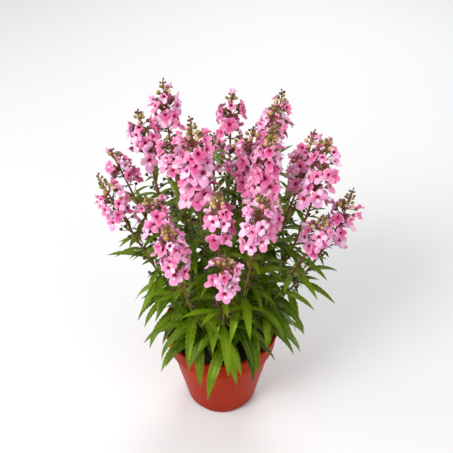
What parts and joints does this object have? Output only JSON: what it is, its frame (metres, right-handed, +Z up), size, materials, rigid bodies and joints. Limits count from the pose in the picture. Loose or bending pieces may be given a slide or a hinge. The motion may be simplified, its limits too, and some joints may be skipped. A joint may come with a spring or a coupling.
{
  "type": "potted angelonia",
  "caption": "Angelonia with upright leafy stems and spikes of open lobed flowers, rooted in soil in a round tapered plastic pot with a collared rim and drain slots.",
  "frame": {"origin": "centre of the pot's foot, on the surface that it stands on", "axes": "+Z up along the pot's axis, -Y towards the front of the plant, +X to its right as seen from the front"},
  "size_m": [0.2482, 0.2189, 0.3998],
  "materials": {
    "pot": "satin",
    "soil": "matte",
    "leaf": "satin",
    "flower": "matte"
  },
  "bodies": {
    "root": {"flower_spike_01": "flower", "flower_spike_02": "flower", "flower_spike_03": "flower", "flower_spike_04": "flower", "flower_spike_05": "flower", "flower_spike_06": "flower", "flower_spike_07": "flower", "flower_spike_08": "flower", "flower_spike_09": "flower", "flower_spike_10": "flower", "flower_spike_11": "flower", "flower_spike_12": "flower", "flower_spike_13": "flower", "flower_spike_14": "flower", "flower_spike_15": "flower", "flower_spike_16": "flower", "flower_spike_17": "flower", "flower_spike_18": "flower", "flower_spike_19": "flower", "flower_spike_20": "flower", "flower_spike_21": "flower", "flower_spike_22": "flower", "flower_spike_23": "flower", "flower_spike_24": "flower", "flower_spike_25": "flower", "flower_spike_26": "flower", "leafy_stem_01": "leaf", "leafy_stem_02": "leaf", "leafy_stem_03": "leaf", "leafy_stem_04": "leaf", "leafy_stem_05": "leaf", "leafy_stem_06": "leaf", "leafy_stem_07": "leaf", "leafy_stem_08": "leaf", "leafy_stem_09": "leaf", "leafy_stem_10": "leaf", "leafy_stem_11": "leaf", "leafy_stem_12": "leaf", "leafy_stem_13": "leaf", "leafy_stem_14": "leaf", "leafy_stem_15": "leaf", "leafy_stem_16": "leaf", "leafy_stem_17": "leaf", "leafy_stem_18": "leaf", "leafy_stem_19": "leaf", "leafy_stem_20": "leaf", "leafy_stem_21": "leaf", "leafy_stem_22": "leaf", "leafy_stem_23": "leaf", "leafy_stem_24": "leaf", "leafy_stem_25": "leaf", "leafy_stem_26": "leaf", "leafy_stem_27": "leaf", "leafy_stem_28": "leaf", "leafy_stem_29": "leaf", "leafy_stem_30": "leaf", "leafy_stem_31": "leaf", "leafy_stem_32": "leaf", "pot": "pot", "soil": "soil"}
  },
  "joints": []
}
